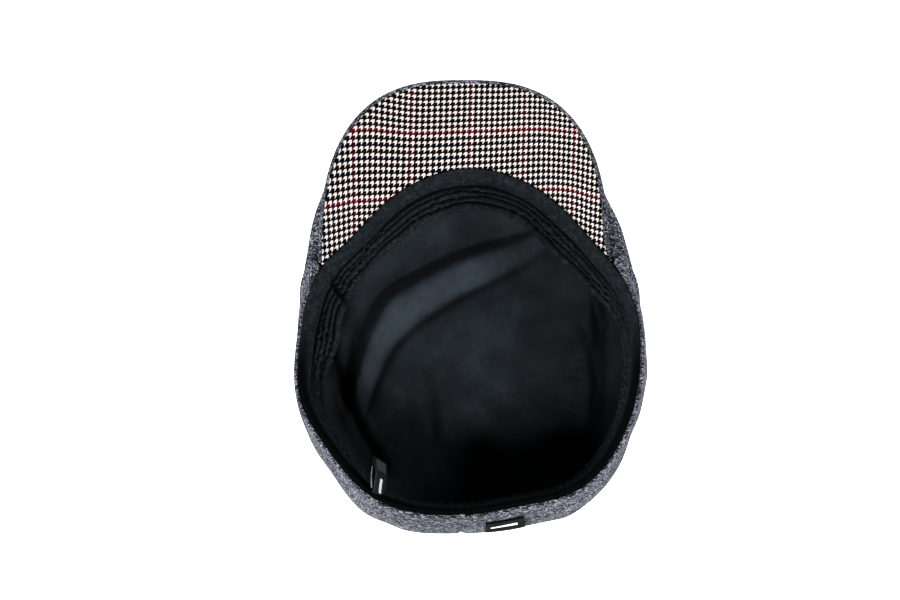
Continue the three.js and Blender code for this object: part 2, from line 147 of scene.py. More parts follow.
def curve_through(rows, period=None):
    """A smooth curve through rows of a place and a value, closed on itself if it has a period."""
    at, value = np.array(rows, float).T
    if period:
        at = np.concatenate([[at[-1] - period], at, at[:2] + period])
        value = np.concatenate([value[-1:], value, value[:2]])
    slope = np.diff(value) / np.diff(at)
    tangent = np.concatenate([slope[:1], (slope[1:] + slope[:-1]) / 2, slope[-1:]])

    def curve(spot):
        spot = np.mod(spot, period) if period else np.clip(spot, at[0], at[-1])
        k = np.clip(np.searchsorted(at, spot, side="right") - 1, 0, len(at) - 2)
        step = at[k + 1] - at[k]
        t = (spot - at[k]) / step
        before = (1 + 2 * t) * (1 - t) ** 2 * value[k] + t * (1 - t) ** 2 * step * tangent[k]
        after = t * t * (3 - 2 * t) * value[k + 1] - t * t * (1 - t) * step * tangent[k + 1]
        return before + after

    return curve


def mix(a, b, share):
    return a + (b - a) * share


def rise_between(value, low, high):
    """0 below the low value, 1 above the high one, and smooth between them."""
    share = np.clip((value - low) / (high - low), 0, 1)
    return share * share * (3 - 2 * share)


def triples(x, y, z):
    return np.stack(np.broadcast_arrays(x, y, z), -1)


def place(bearing, radius, height):
    angle = np.radians(bearing)
    return triples(radius * np.sin(angle), OPENING_Y + radius * np.cos(angle), height)


def from_tip(bearing):
    return np.mod(bearing + 180, 360) - 180


opening = curve_through(OPENING, 360)


def past_corner(bearing):
    turn = from_tip(bearing)
    return np.abs(turn) - np.where(turn > 0, PEAK_CORNER["left"], PEAK_CORNER["right"])


def peak_height(x, y):
    seam_y = OPENING_Y + OPENING[0][1]
    return PEAK_HEIGHT + PEAK_ARCH * ((x - PEAK_X) / PEAK_HALF_WIDTH) ** 2 - PEAK_FALL * (y - seam_y)


def peak_outline(bearing):
    """Radius at which the peak's outline crosses a bearing."""
    depth = PEAK_TIP_Y - PEAK_BASE_Y
    inside = np.zeros_like(bearing, dtype=float)
    outside = np.full_like(inside, 2 * depth)
    for _ in range(OUTLINE_HALVINGS):
        radius = (inside + outside) / 2
        point = place(bearing, radius, 0)
        across = np.abs((point[..., 0] - PEAK_X) / PEAK_HALF_WIDTH) ** PEAK_ROUNDNESS
        along = np.maximum(0, (point[..., 1] - PEAK_BASE_Y) / depth) ** PEAK_ROUNDNESS
        within = across + along < 1
        inside = np.where(within, radius, inside)
        outside = np.where(within, outside, radius)
    return inside


def peak_point(bearing, radius, above):
    point = place(bearing, radius, 0)
    point[..., 2] = peak_height(point[..., 0], point[..., 1]) + above
    return point


def unit(vectors):
    return vectors / np.maximum(np.linalg.norm(vectors, axis=-1, keepdims=True), 1e-9)


def rounded_edge(start, end, away):
    """Points on a half circle from one row of points to another, bulging away from the cloth."""
    middle = (start + end) / 2
    arm = (start - end) / 2
    radius = np.linalg.norm(arm, axis=-1, keepdims=True)
    turns = np.linspace(0, math.pi, EDGE_STEPS + 2)[1:-1]
    return np.stack([middle + arm * math.cos(t) + away * radius * math.sin(t) for t in turns], 1)


def shell(name, face, back, material, closed=False, pole=False, thread=None):
    """A closed piece of cloth from a grid of points on its face and one on its back, in millimetres.

    Columns run round the cap and rows down it. Edges are rounded. With a pole the last row is one point.
    The thread attribute keeps the cloth's own two directions, for what is woven in it, and on the band and
    lining a third value that sets painted light and shade."""
    columns, rows = face.shape[:2]
    parts = [rounded_edge(back[:, 0], face[:, 0], unit(face[:, 0] - face[:, 1])), face]
    if not pole:
        parts.append(rounded_edge(face[:, -1], back[:, -1], unit(face[:, -1] - face[:, -2])))
    parts.append(back[:, ::-1])
    loop = np.concatenate(parts, 1)
    length = loop.shape[1]
    index = np.arange(columns * length).reshape(columns, length)
    last = EDGE_STEPS + rows - 1
    if pole:
        index[:, last] = index[0, last]
        index[:, last + 1] = index[0, last + 1]
    used, numbers = np.unique(index, return_inverse=True)
    numbers = numbers.reshape(index.shape)
    faces = []
    for i in range(columns if closed else columns - 1):
        a, b = numbers[i].tolist(), numbers[(i + 1) % columns].tolist()
        for j in range(length):
            k = (j + 1) % length
            if not (pole and j == last):
                faces.append(tuple(dict.fromkeys((a[j], b[j], b[k], a[k]))))
    if not closed:
        faces += [tuple(numbers[0].tolist()), tuple(numbers[-1].tolist())]
    mesh = bpy.data.meshes.new(name)
    mesh.from_pydata((loop.reshape(-1, 3)[used] * MM).tolist(), [], faces)
    if thread is not None:
        first = np.repeat(thread[:, :1], EDGE_STEPS, 1)
        last_row = np.repeat(thread[:, -1:], length - EDGE_STEPS - rows, 1)
        values = np.concatenate([first, thread, last_row], 1).reshape(-1, 3)[used]
        layer = mesh.attributes.new("thread", "FLOAT_VECTOR", "POINT")
        layer.data.foreach_set("vector", values.astype(np.float32).ravel())
    work = bmesh.new()
    work.from_mesh(mesh)
    bmesh.ops.recalc_face_normals(work, faces=work.faces)
    work.to_mesh(mesh)
    work.free()
    mesh.shade_smooth()
    mesh.materials.append(material)
    piece = bpy.data.objects.new(name, mesh)
    scene.collection.objects.link(piece)
    return piece


def fit(piece, node):
    """The piece stands for a node of the frame: it hangs under the root body, and the node's own part is
    hidden.
    """
    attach(piece, "root")
    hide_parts(node)


def paint(code):
    """A colour as seen, in six hexadecimal digits, as the shader's linear values."""
    seen = np.array([int(code[k:k + 2], 16) / 255 for k in (0, 2, 4)])
    linear = np.where(seen <= 0.04045, seen / 12.92, ((seen + 0.055) / 1.055) ** 2.4)
    return (*linear.tolist(), 1.0)


class Shade:
    """An output of a shader node. Operators on it add Math nodes, and node() adds any other kind."""

    def __init__(self, tree, socket=None):
        self.tree = tree
        self.socket = socket

    def node(self, kind, settings=None, inputs=None, output=0):
        made = self.tree.nodes.new("ShaderNode" + kind)
        for name, value in (settings or {}).items():
            setattr(made, name, value)
        for name, value in (inputs or {}).items():
            self.feed(value, made.inputs[name])
        return Shade(self.tree, made.outputs[output])

    def feed(self, value, socket):
        if isinstance(value, Shade):
            self.tree.links.new(value.socket, socket)
        else:
            socket.default_value = value

    def spot(self):
        """The place on the piece."""
        return self.node("TexCoord", output="Object")

    def thread(self):
        """The piece's thread attribute."""
        return self.node("Attribute", {"attribute_name": "thread"}, output="Vector")

    def dress(self, colour, normal=None):
        """Gives the tree's surface its colour and its normal."""
        surface = self.tree.nodes["Principled BSDF"].inputs
        self.feed(colour, surface["Base Color"])
        if normal is not None:
            self.feed(normal, surface["Normal"])

    def ramp(self, stops):
        """Colours by this value, smooth between the stops."""
        made = self.node("ValToRGB", inputs={0: self})
        elements = made.socket.node.color_ramp.elements
        elements.remove(elements[-1])
        elements[0].position, elements[0].color = stops[0][0], paint(stops[0][1])
        for at, code in stops[1:]:
            elements.new(at).color = paint(code)
        return made

    def noise(self, scale, detail=2.0, roughness=0.5):
        """Noise at this place."""
        settings = {"Vector": self, "Scale": scale, "Detail": detail, "Roughness": roughness}
        return self.node("TexNoise", inputs=settings)

    def stretched(self, turn, scale):
        """This place turned, then stretched along the axes."""
        return self.node("Mapping", inputs={"Vector": self, "Rotation": turn, "Scale": scale})

    def part(self, axis):
        return self.node("SeparateXYZ", inputs={"Vector": self}, output=axis)

    def math(self, operation, *values):
        return self.node("Math", {"operation": operation}, dict(enumerate(values)))

    def mixed(self, base, over):
        """The base colour where this value is 0 and the other where it is 1."""
        return self.node("Mix", {"data_type": "RGBA"}, {0: self, 6: base, 7: over}, output=2)

    def bump(self, strength, distance):
        """A normal with this value as a height."""
        settings = {"Strength": strength, "Distance": distance * MM, "Height": self}
        return self.node("Bump", inputs=settings, output="Normal")

    def __add__(self, other):
        return self.math("ADD", self, other)

    def __sub__(self, other):
        return self.math("SUBTRACT", self, other)

    def __rsub__(self, other):
        return self.math("SUBTRACT", other, self)

    def __mul__(self, other):
        return self.math("MULTIPLY", self, other)

    def __truediv__(self, other):
        return self.math("DIVIDE", self, other)

    def __mod__(self, other):
        return self.math("FLOORED_MODULO", self, other)

    def __lt__(self, other):
        return self.math("LESS_THAN", self, other)

    __radd__ = __add__
    __rmul__ = __mul__


def cloth(name, roughness, sheen, specular):
    """A new material with a cloth's constants, and a Shade of its tree."""
    material = bpy.data.materials.new(name)
    material.use_nodes = True
    surface = material.node_tree.nodes["Principled BSDF"].inputs
    surface["Roughness"].default_value = roughness
    surface["Specular IOR Level"].default_value = specular
    surface["Sheen Weight"].default_value = sheen
    surface["Sheen Roughness"].default_value = 0.5
    return material, Shade(material.node_tree)


def grey_wool():
    """Fulled melange wool: light and dark fibres spun together, with a soft nap."""
    material, shade = cloth("grey_wool", roughness=0.95, sheen=0.01, specular=0.1)
    spot = shade.spot()
    fleck = spot.noise(WOOL_FLECK, detail=1.0)
    one, other = (spot.stretched((t, t, t), WOOL_STRAND).noise(1, detail=1.0) for t in WOOL_STRAND_TURNS)
    tone = fleck * 0.4 + one * 0.35 + other * 0.35 + spot.noise(WOOL_CLOUD) * 0.1
    shade.dress(tone.ramp(WOOL_TONES), (fleck + one).bump(strength=0.5, distance=0.3))
    return material


wool = grey_wool()
peak_turns = np.linspace(-PEAK_CORNER["right"], PEAK_CORNER["left"], PEAK_COLUMNS)
peak_ends = peak_turns[:1] - PEAK_END["past"], peak_turns[-1:] + PEAK_END["past"]
peak_turns = np.concatenate([peak_ends[0], peak_turns, peak_ends[1]])[:, None]
toward_end = rise_between(past_corner(peak_turns), PEAK_END["thins"], PEAK_END["past"])
peak_thin = mix(1, PEAK_END["to"], toward_end)
peak_inner = opening(peak_turns) + SEAM_GAP
peak_outer = peak_outline(peak_turns)
lip_wider = rise_between(peak_turns, PEAK_LIP_WIDER["from"], PEAK_LIP_WIDER["to"])
peak_lip = PEAK_LIP + PEAK_LIP_WIDER["by"] * lip_wider
peak_lip = np.minimum(peak_lip, PEAK_LIP_SHARE * (peak_outer - peak_inner))
peak_seat = peak_outer - peak_lip
blade_radius = mix(peak_inner, peak_seat, np.linspace(0, 1, BLADE_ROWS))
lip_share = np.linspace(0, LIP_TOP[-1][0], LIP_ROWS)[None, :]
lip_radius = peak_seat + peak_lip * lip_share
lip_top = curve_through(LIP_TOP)(lip_share) * peak_lip / PEAK_LIP
lip_deep = lip_top + curve_through(LIP_UNDER)(lip_share)
blade_face = np.concatenate([
    peak_point(peak_turns, blade_radius, -PEAK_SEAT),
    peak_point(peak_turns, lip_radius, lip_top),
], 1)
blade_back = np.concatenate([
    peak_point(peak_turns, blade_radius, -PEAK_SEAT - (PEAK_THICKNESS - PEAK_SEAT) * peak_thin),
    peak_point(peak_turns, lip_radius, lip_top - lip_deep * peak_thin),
], 1)
peak = shell("peak_blade", blade_face, blade_back, wool)
fit(peak, "peak")


# Peak under side: a houndstooth cloth inside the wool lip, with a red line each way every ten repeats.
# It is a twill of two dark and two pale yarns each way, the dark wefts brown and navy by turns.
# The red lines show how the cloth was stretched over the blade: each table row is a place along them.
PEAK_UNDER = 1.0
UNDER_ROWS = 60
UNDER_EDGE_SHARE = 0.2
YARNS = 4
TWILL = 4
RED_EVERY = 10
RED_WARPS = [(-97, -30), (-65.5, -20), (-33.5, -10), (-0.4, 0), (30.1, 10), (58.2, 20), (85, 30)]
RED_WARP_LEAN = 0.03
WARPS_CLOSE = {"beyond": 45, "left": 0.0025, "right": 0.001}
WEFTS_CLOSE = {"above": 0.895, "below": 0.87, "from": 40, "to": -50}
RED_WEFTS = [
    # x, upper y, lower y
    (-81, 95.4, 52.2), (-71, 95.9, 54.6), (-65.5, 96.5, 56.1), (-56, 97.3, 57.0), (-48, 96.9, 57.8),
    (-33, 96.0, 58.9), (-17, 96.5, 60.1), (0, 97.3, 61.1), (17, 97.7, 62.1), (30, 98.2, 62.9),
    (42, 97.9, 63.6), (50, 96.8, 63.3), (58, 95.6, 61.9), (66.5, 94.0, 59.0), (72, 92.7, 57.4),
    (78.5, 90.9, 55.2),
]
YARN_WANDER = {"scale": 2.5, "by": 0.5}
DARK_MIDDLE = 0.25
DARK_SHARE = 0.6
DARK_TOOTH = 0.2
HOUND_PALE = "d2ccc9"
HOUND_BROWN = "1a0a06"
HOUND_NAVY = "05070f"
HOUND_RED_WARP = "480913"
HOUND_RED_WEFT = "650b1b"


def houndstooth_cloth():
    material, shade = cloth("houndstooth", roughness=0.9, sheen=0.0, specular=0.05)
    thread = shade.thread()
    wander = (thread.noise(YARN_WANDER["scale"], detail=1.0) - 0.5) * YARN_WANDER["by"]
    across = thread.part("X") * YARNS + wander
    along = thread.part("Y") * YARNS + wander
    warp_group = across / YARNS
    weft_group = along / YARNS
    warp_dark = (warp_group % 1) < DARK_SHARE
    weft_dark = (weft_group % 1) < DARK_SHARE
    warp_over = ((across - along) % TWILL) < (TWILL / 2 + DARK_TOOTH * (warp_dark - weft_dark))
    warp_red = (shade.math("FLOOR", warp_group) % RED_EVERY) < 1
    weft_red = (shade.math("FLOOR", weft_group) % RED_EVERY) < 1
    weft_navy = (shade.math("FLOOR", weft_group) % 2) < 1
    dark = weft_navy.mixed(paint(HOUND_BROWN), paint(HOUND_NAVY))
    dark_weft = weft_red.mixed(dark, paint(HOUND_RED_WEFT))
    dark_warp = warp_red.mixed(dark, paint(HOUND_RED_WARP))
    warp_colour = warp_dark.mixed(paint(HOUND_PALE), dark_warp)
    weft_colour = weft_dark.mixed(paint(HOUND_PALE), dark_weft)
    warp_round = shade.math("SINE", (across % 1) * math.pi)
    weft_round = shade.math("SINE", (along % 1) * math.pi)
    height = warp_over * warp_round + (1 - warp_over) * weft_round
    shade.dress(warp_over.mixed(weft_colour, warp_colour), height.bump(strength=0.3, distance=0.1))
    return material


under_edge = peak_seat - np.minimum(SEAM_GAP, UNDER_EDGE_SHARE * (peak_seat - peak_inner))
under_radius = mix(peak_inner, under_edge, np.linspace(0, 1, UNDER_ROWS))
under_face = peak_point(peak_turns, under_radius, 0)
under_back = peak_point(peak_turns, under_radius, -PEAK_UNDER)
under_x, under_y = under_face[..., 0], under_face[..., 1]
upper_line = curve_through([(x, upper) for x, upper, lower in RED_WEFTS])(under_x)
lower_line = curve_through([(x, lower) for x, upper, lower in RED_WEFTS])(under_x)
from_upper = under_y - upper_line
drawn_in = WARPS_CLOSE["right"] * np.maximum(under_x - WARPS_CLOSE["beyond"], 0)
drawn_in = drawn_in - WARPS_CLOSE["left"] * np.maximum(-under_x - WARPS_CLOSE["beyond"], 0)
repeats_across = curve_through(RED_WARPS)(under_x - (RED_WARP_LEAN + drawn_in) * from_upper)
weft_repeat = (upper_line - lower_line) / RED_EVERY
toward_right = rise_between(-under_x, -WEFTS_CLOSE["from"], -WEFTS_CLOSE["to"])
closer_below = mix(1, WEFTS_CLOSE["below"], toward_right)
between = np.clip(from_upper, lower_line - upper_line, 0)
above_lines = np.maximum(from_upper, 0) / WEFTS_CLOSE["above"]
beyond = above_lines + np.minimum(under_y - lower_line, 0) / closer_below
repeats_along = (between + beyond) / weft_repeat
under_thread = np.stack([repeats_across, repeats_along, np.zeros_like(under_x)], -1) + DARK_MIDDLE
peak_under = shell("peak_under_cloth", under_face, under_back, houndstooth_cloth(), thread=under_thread)
fit(peak_under, "peak_under")


# Crown sides: two panels of the same wool, from the rim down past the widest part, sewn at the centre back.
# The rim is a folded hem. The seams are pressed open, so that both edges turn in along them.
WOOL = 1.6
HEM = 1.9
HEM_EXTRA = 0.6
HEM_DEPTH = 8
RIM_SLOPE = 0.225
CROWN_TUCK = {"inset": 3, "from": -20, "to": -2}
CROWN_DROP = {"from": 0.1, "to": 1.0}
CROWN_FLARE = {"out": 2.6, "spread": 7}
CROWN_ROLL = 0.2
CROWN_FULLNESS = {"side": 0.55, "front": 0.3}
FRONT = {"full": 35, "none": 80}
CROWN_SECTIONS = [
    # bearing, widest radius, its height, resting radius
    (0, 150.5, 27, 64), (20, 145.5, 27, 64), (30, 132.5, 28, 64), (40, 117.0, 32, 65),
    (50, 109.2, 37, 66), (60, 102.4, 40, 66), (75, 97.6, 39, 67), (95, 97.5, 38, 68),
    (118, 101.8, 39, 70), (142, 106.7, 40, 73), (165, 102.0, 40, 73), (183, 102.0, 40, 72),
    (210, 108.2, 40, 73), (233, 101.4, 40, 72), (252, 100.6, 39, 70), (272, 96.1, 38, 67),
    (290, 100.4, 39, 66), (300, 105.3, 40, 66), (310, 114.5, 37, 66), (320, 125.0, 32, 65),
    (330, 140.5, 28, 64), (340, 149.3, 27, 64),
]
CROWN_SEAM = {"front": 45.5, "side": 82, "station": 1.45}
BACK_SEAM = 183
BACK_GAP = 0.1
SEAM_SINK = 0.9
SEAM_ROUND = 1.6
SIDE_COLUMNS = 360
SIDE_ROWS = 70
BACK_ROWS = 18
CROWN_PULLS = [
    # bearing, station, lean, length, width, rise
    (66, 0.55, 40, 24, 5, 1.5), (76, 0.8, 35, 28, 6, -1.3), (294, 0.5, -40, 24, 5, 1.5),
    (284, 0.85, -35, 28, 6, -1.3), (118, 0.75, 8, 32, 10, -1.4), (150, 1.0, -15, 36, 9, 1.2),
    (205, 0.9, 20, 32, 9, -1.3), (236, 1.0, -10, 36, 11, 1.3), (262, 1.15, 25, 30, 8, -1.1),
    (95, 1.2, -20, 30, 8, 1.1), (168, 0.5, 70, 30, 6, -0.8), (222, 0.4, 100, 26, 6, -0.8),
]
STATION_LENGTH = 42

belly, belly_height, rest = (
    curve_through([(row[0], row[k]) for row in CROWN_SECTIONS], 360) for k in (1, 2, 3)
)


def rim_height(bearing):
    """Height of the opening's edge: along the peak's under side, then up a slope to the back."""
    turn = from_tip(bearing)
    corner = np.where(turn > 0, PEAK_CORNER["left"], -PEAK_CORNER["right"])
    seam_turn = np.where(past_corner(bearing) > 0, corner, turn)
    seam = place(seam_turn, opening(seam_turn), 0)
    here = place(bearing, opening(bearing), 0)
    return peak_height(seam[..., 0], seam[..., 1]) + RIM_SLOPE * (seam[..., 1] - here[..., 1])


def bell(distance, width):
    """1 at no distance, and smoothly less over the width."""
    return np.exp(-((distance / width) ** 2))


def corner_flare(bearing):
    return CROWN_FLARE["out"] * bell(past_corner(bearing), CROWN_FLARE["spread"])


def crown_edge(bearing):
    """Radius and height of the crown's edge, which drops below the peak and tucks in under it."""
    past = past_corner(bearing)
    tuck = 1 - rise_between(past, CROWN_TUCK["from"], CROWN_TUCK["to"])
    drop = 1 - rise_between(past, CROWN_DROP["from"], CROWN_DROP["to"])
    rim = opening(bearing) + HEM + corner_flare(bearing)
    radius = mix(rim, peak_outline(bearing) - CROWN_TUCK["inset"], tuck)
    point = place(bearing, radius, 0)
    under_peak = peak_height(point[..., 0], point[..., 1]) - PEAK_THICKNESS - SEAM_GAP
    return radius, mix(rim_height(bearing), under_peak, drop)


def frontness(bearing):
    return 1 - rise_between(np.abs(from_tip(bearing)), FRONT["full"], FRONT["none"])


def crown_pull(bearing, station):
    """Soft pulls and hollows of the worn cloth, out from its face."""
    out = np.zeros(np.broadcast_shapes(np.shape(bearing), np.shape(station)))
    for at, down, lean, length, width, rise in CROWN_PULLS:
        aside = np.radians(from_tip(bearing - at)) * belly(at)
        below = (station - down) * STATION_LENGTH
        turn = math.radians(lean)
        along = aside * math.sin(turn) + below * math.cos(turn)
        across = aside * math.cos(turn) - below * math.sin(turn)
        out = out + rise * np.exp(-((along / length) ** 2) - (across / width) ** 2)
    return out


def crown_point(bearing, station):
    """Points on the crown's face.

    Stations are 0 at its edge, 1 at its widest part, 2 where it meets the floor and 3 at its middle."""
    edge_radius, edge_height = crown_edge(bearing)
    widest = np.maximum(belly(bearing), edge_radius + CROWN_ROLL)
    height = belly_height(bearing)
    resting = rest(bearing)
    upper = np.clip(station, 0, 1)
    lower = np.clip(station - 1, 0, 1)
    patch = np.clip(station - 2, 0, 1)
    full = mix(CROWN_FULLNESS["side"], CROWN_FULLNESS["front"], frontness(bearing))
    wall_radius = mix(edge_radius, widest, np.sin(upper * math.pi / 2))
    wall_height = mix(edge_height, height, upper)
    shares = [(1 - lower) ** 3, 3 * lower * (1 - lower) ** 2, 3 * lower ** 2 * (1 - lower), lower ** 3]
    radii = [widest, widest, mix(resting, widest, full), resting]
    heights = [height, height * (1 - full), 0, 0]
    shoulder_radius = sum(share * radius for share, radius in zip(shares, radii))
    shoulder_height = sum(share * height for share, height in zip(shares, heights))
    radius = np.where(station <= 1, wall_radius, shoulder_radius) * (1 - patch)
    return place(bearing, radius, np.where(station <= 1, wall_height, shoulder_height))


def fewer(grid, rows):
    """Some of a grid's rows, enough for the unseen back of a piece."""
    return grid[:, np.linspace(0, grid.shape[1] - 1, rows).round().astype(int)]


def normals_of(grid, closed=False):
    wrapped = np.concatenate([grid[-1:], grid, grid[:1]]) if closed else grid
    round_way = np.gradient(wrapped, axis=0)
    if closed:
        round_way = round_way[1:-1]
    return unit(np.cross(round_way, np.gradient(grid, axis=1)))


def run_down(grid):
    """Length along each column, from its first row."""
    steps = np.linalg.norm(np.diff(grid, axis=1), axis=2)
    return np.concatenate([np.zeros((len(grid), 1)), np.cumsum(steps, 1)], 1)


def seam_station(seam, bearing):
    return seam["station"] * rise_between(np.abs(from_tip(bearing)), seam["front"], seam["side"])


def close_ends(count):
    """Shares from 0 to 1 that lie closer together at both ends."""
    return (1 - np.cos(np.linspace(0, math.pi, count))) / 2


def turn_in(distance):
    return SEAM_SINK * bell(distance, SEAM_ROUND)


def side_turns(seam, side, count):
    """Bearings of the columns of a side panel, as one column."""
    gap = math.degrees(BACK_GAP / 2 / opening(BACK_SEAM))
    left = mix(seam["front"] + 1, BACK_SEAM - gap, close_ends(count))
    right = mix(BACK_SEAM + gap, 360 - seam["front"] - 1, close_ends(count))
    return (left if side == "left" else right)[:, None]


def side_grid(point, seam, side, columns):
    """A side panel's bearings, stations, points, their normals, and the length down to each."""
    turns = side_turns(seam, side, columns)
    station = seam_station(seam, turns) * close_ends(SIDE_ROWS)
    face = point(turns, station)
    return turns, station, face, normals_of(face), run_down(face)


for side in ("left", "right"):
    turns, station, face, normal, run = side_grid(crown_point, CROWN_SEAM, side, SIDE_COLUMNS)
    to_back = np.abs(np.radians(from_tip(turns - BACK_SEAM))) * belly(turns)
    sink = turn_in(run[:, -1:] - run) + turn_in(to_back)
    out = crown_pull(turns, station) * rise_between(run, 0, 2 * HEM_DEPTH) - sink
    face = face + normal * out[..., None]
    thickness = WOOL + (HEM_EXTRA + corner_flare(turns)) * bell(run, HEM_DEPTH)
    back = fewer(face - normal * thickness[..., None], BACK_ROWS)
    panel = shell(f"{side}_side_panel", face, back, wool)
    fit(panel, f"crown_side_{side}")


# Crown top: one long panel of the same wool, from under the peak to the back, sewn to both sides.
# It is flattened where the cap rests, and the worn cloth lies in soft pulls and hollows.
TOP_STEP = 0.75
TOP_ROWS = 60
PATCH_ROWS = 10
PULLS_END = {"from": 1.7, "to": 2.0}

top_turns = np.arange(0, 360, TOP_STEP)[:, None]
top_wall = mix(seam_station(CROWN_SEAM, top_turns), 2, close_ends(TOP_ROWS))
top_patch = np.broadcast_to(2 + np.arange(1, PATCH_ROWS + 1) / PATCH_ROWS, (len(top_turns), PATCH_ROWS))
top_station = np.concatenate([top_wall, top_patch], 1)
top_face = crown_point(top_turns, top_station)
top_normal = normals_of(top_face, closed=True)
top_normal[:, -1] = (0, 0, -1)
pulls_left = 1 - rise_between(top_station, PULLS_END["from"], PULLS_END["to"])
top_pull = crown_pull(top_turns, top_station) * pulls_left
top_face = top_face + top_normal * (top_pull - turn_in(run_down(top_face)))[..., None]
top_face[..., 2] = np.maximum(top_face[..., 2], 0)
top_back = fewer(top_face - top_normal * WOOL, BACK_ROWS)
top_panel = shell("top_panel", top_face, top_back, wool, closed=True, pole=True)
fit(top_panel, "crown_top")


# Sweatband: a doubled strip of black cotton twill sewn in round the opening, which hangs free inside.
# Rows of stitching quilt it. The cloth puckers and draws along them, and pinches into a crease at one side.
BAND_WIDTH = 30
BAND_THICKNESS = 2.2
BAND_STITCHES = [12.5, 17, 22, 27]
BAND_GROOVE = 1.6
BAND_GROOVE_WIDTH = 1.9
BAND_THINNEST = 0.4
BAND_RIB = {"rise": 1.5, "width": 1.8}
BAND_INSET = 0.5
BAND_LEAN = [
    (0, 31), (20, 26), (30, 29), (40, 27), (50, 24), (60, 24), (75, 13), (95, 6), (118, 5), (142, 6),
    (165, 6), (183, 6), (210, 6), (233, 9), (252, 16), (272, 29), (290, 31), (300, 29), (310, 25),
    (320, 26), (330, 31), (340, 30),
]
BAND_COLUMNS = 1000
BAND_ROWS = 76
BAND_BACK_ROWS = 7
PUCKERS = [
    # waves round the band, slant in degrees a millimetre, depth
    (139, 0.6, 0.14), (163, -0.5, 0.12), (97, 0.4, 0.16), (61, -0.35, 0.18),
]
PUCKER_PATCHES = {"count": 9, "slant": 9}
ROW_WANDER = [(5, 0.4), (11, 0.35), (19, 0.25)]
PINCH = {"bearing": 294.8, "lean": 0.21, "spread": 0.9, "deep": 2.2, "swell": 0.7, "reach": 2.6}
EDGE_WAVES = [(5, 0.5), (9, 0.4), (14, 0.3)]
EDGE_LIFT = 0.5
BAND_SPANS = {
    # from and to across the band, where each comes in
    "ribs": (0, 5), "pinch": (6, 16), "edge_waves": (8, 30), "puckers": (9, 14), "ridges": (12, 15),
    "edge_lift": (26, 30),
}
BAND_SEED = 5
STITCH = {"length": 2.4, "gap": 0.5, "width": 0.4, "sunk": 0.0}
BAND_FINISH = {
    "roughness": 0.85, "sheen": 0.0, "specular": 0.08, "grain": 2200, "blotch": 260, "blotches": 0.2,
    "thread": -0.6, "bump": (0.4, 0.2),
}
# Painted light and shade on the band: the darkest tone in the grooves, the pinch and along the upper edge
# toward the back, the palest as a highlight on the ridges.
BAND_TONES = [(0.12, "020305"), (0.45, "1b2024"), (0.92, "7a828a")]
BAND_BACK_PAINTED_SHADE = {"from": 80, "to": 110, "depth": 6}
BAND_PAINTED_HIGHLIGHT = 1.05
STITCH_BLACK = "16181b"

band_lean = curve_through(BAND_LEAN, 360)
band_draw = np.random.default_rng(BAND_SEED)
pucker_starts = band_draw.uniform(0, 360, len(PUCKERS))
wander_starts = band_draw.uniform(0, 360, (len(BAND_STITCHES), len(ROW_WANDER)))
edge_starts = band_draw.uniform(0, 360, len(EDGE_WAVES))


def waves(bearing, rows, starts):
    return sum(
        deep * np.sin(np.radians(count * bearing + start)) for (count, deep), start in zip(rows, starts)
    )


def to_stitches(bearing, across):
    """Distance across the band from the nearest row of stitches. The rows wander a little."""
    rows = [row + waves(bearing, ROW_WANDER, starts) for row, starts in zip(BAND_STITCHES, wander_starts)]
    return np.min([np.abs(across - row) for row in rows], axis=0)


def band_section(bearing, across, depth):
    """Radius and height at a distance down the leaning band and a depth in from its back."""
    lean = np.radians(band_lean(bearing))
    radius = opening(bearing) - BAND_INSET - across * np.sin(lean) - depth * np.cos(lean)
    return radius, rim_height(bearing) - across * np.cos(lean) + depth * np.sin(lean)


def band_point(bearing, across, depth):
    return place(bearing, *band_section(bearing, across, depth))


def from_pinch(bearing, across):
    return from_tip(bearing - PINCH["bearing"]) + PINCH["lean"] * (across - BAND_WIDTH / 2)


def comes_in(across, what):
    return rise_between(across, *BAND_SPANS[what])


def band_depth(bearing, across):
    """Thickness of the band: ribs between the stitched rows, with puckers drawn along them."""
    to_row = to_stitches(bearing, across)
    rib = BAND_RIB["rise"] * (1 - bell(to_row, BAND_RIB["width"])) * comes_in(across, "ribs")
    depth = BAND_THICKNESS + rib - BAND_GROOVE * bell(to_row, BAND_GROOVE_WIDTH)
    patches = np.sin(np.radians(PUCKER_PATCHES["count"] * bearing + PUCKER_PATCHES["slant"] * across))
    quilted = comes_in(across, "puckers") * (1 + patches)
    for (count, slant, deep), start in zip(PUCKERS, pucker_starts):
        depth = depth + deep * quilted * np.sin(np.radians(count * (bearing + slant * across) + start))
    aside = from_pinch(bearing, across)
    pinch = PINCH["deep"] * bell(aside, PINCH["spread"])
    swell = PINCH["swell"] * bell(np.abs(aside) - PINCH["reach"], PINCH["spread"])
    depth = depth + (swell - pinch) * comes_in(across, "pinch")
    return np.maximum(depth + EDGE_LIFT * comes_in(across, "edge_lift"), BAND_THINNEST)


def band_reach(bearing, across):
    """Distance down the band, whose free edge waves a little."""
    wave = waves(bearing, EDGE_WAVES, edge_starts) * comes_in(across, "edge_waves")
    return across * (1 + wave / BAND_WIDTH)


def black_cloth(name, finish, tones):
    """Black cloth with painted light and shade: darker tones for painted shade, paler tones for painted
    highlights.

    The thread attribute's third value says where, by the share that the finish gives it."""
    material, shade = cloth(name, finish["roughness"], finish["sheen"], finish["specular"])
    spot = shade.spot()
    grain = spot.noise(finish["grain"], detail=1.0)
    blotch = spot.noise(finish["blotch"], detail=4.0, roughness=0.6)
    tone = 0.45 + shade.thread().part("Z") * finish["thread"]
    tone = tone + (blotch - 0.5) * finish["blotches"] + (grain - 0.5) * 0.35
    shade.dress(tone.ramp(tones), grain.bump(*finish["bump"]))
    return material


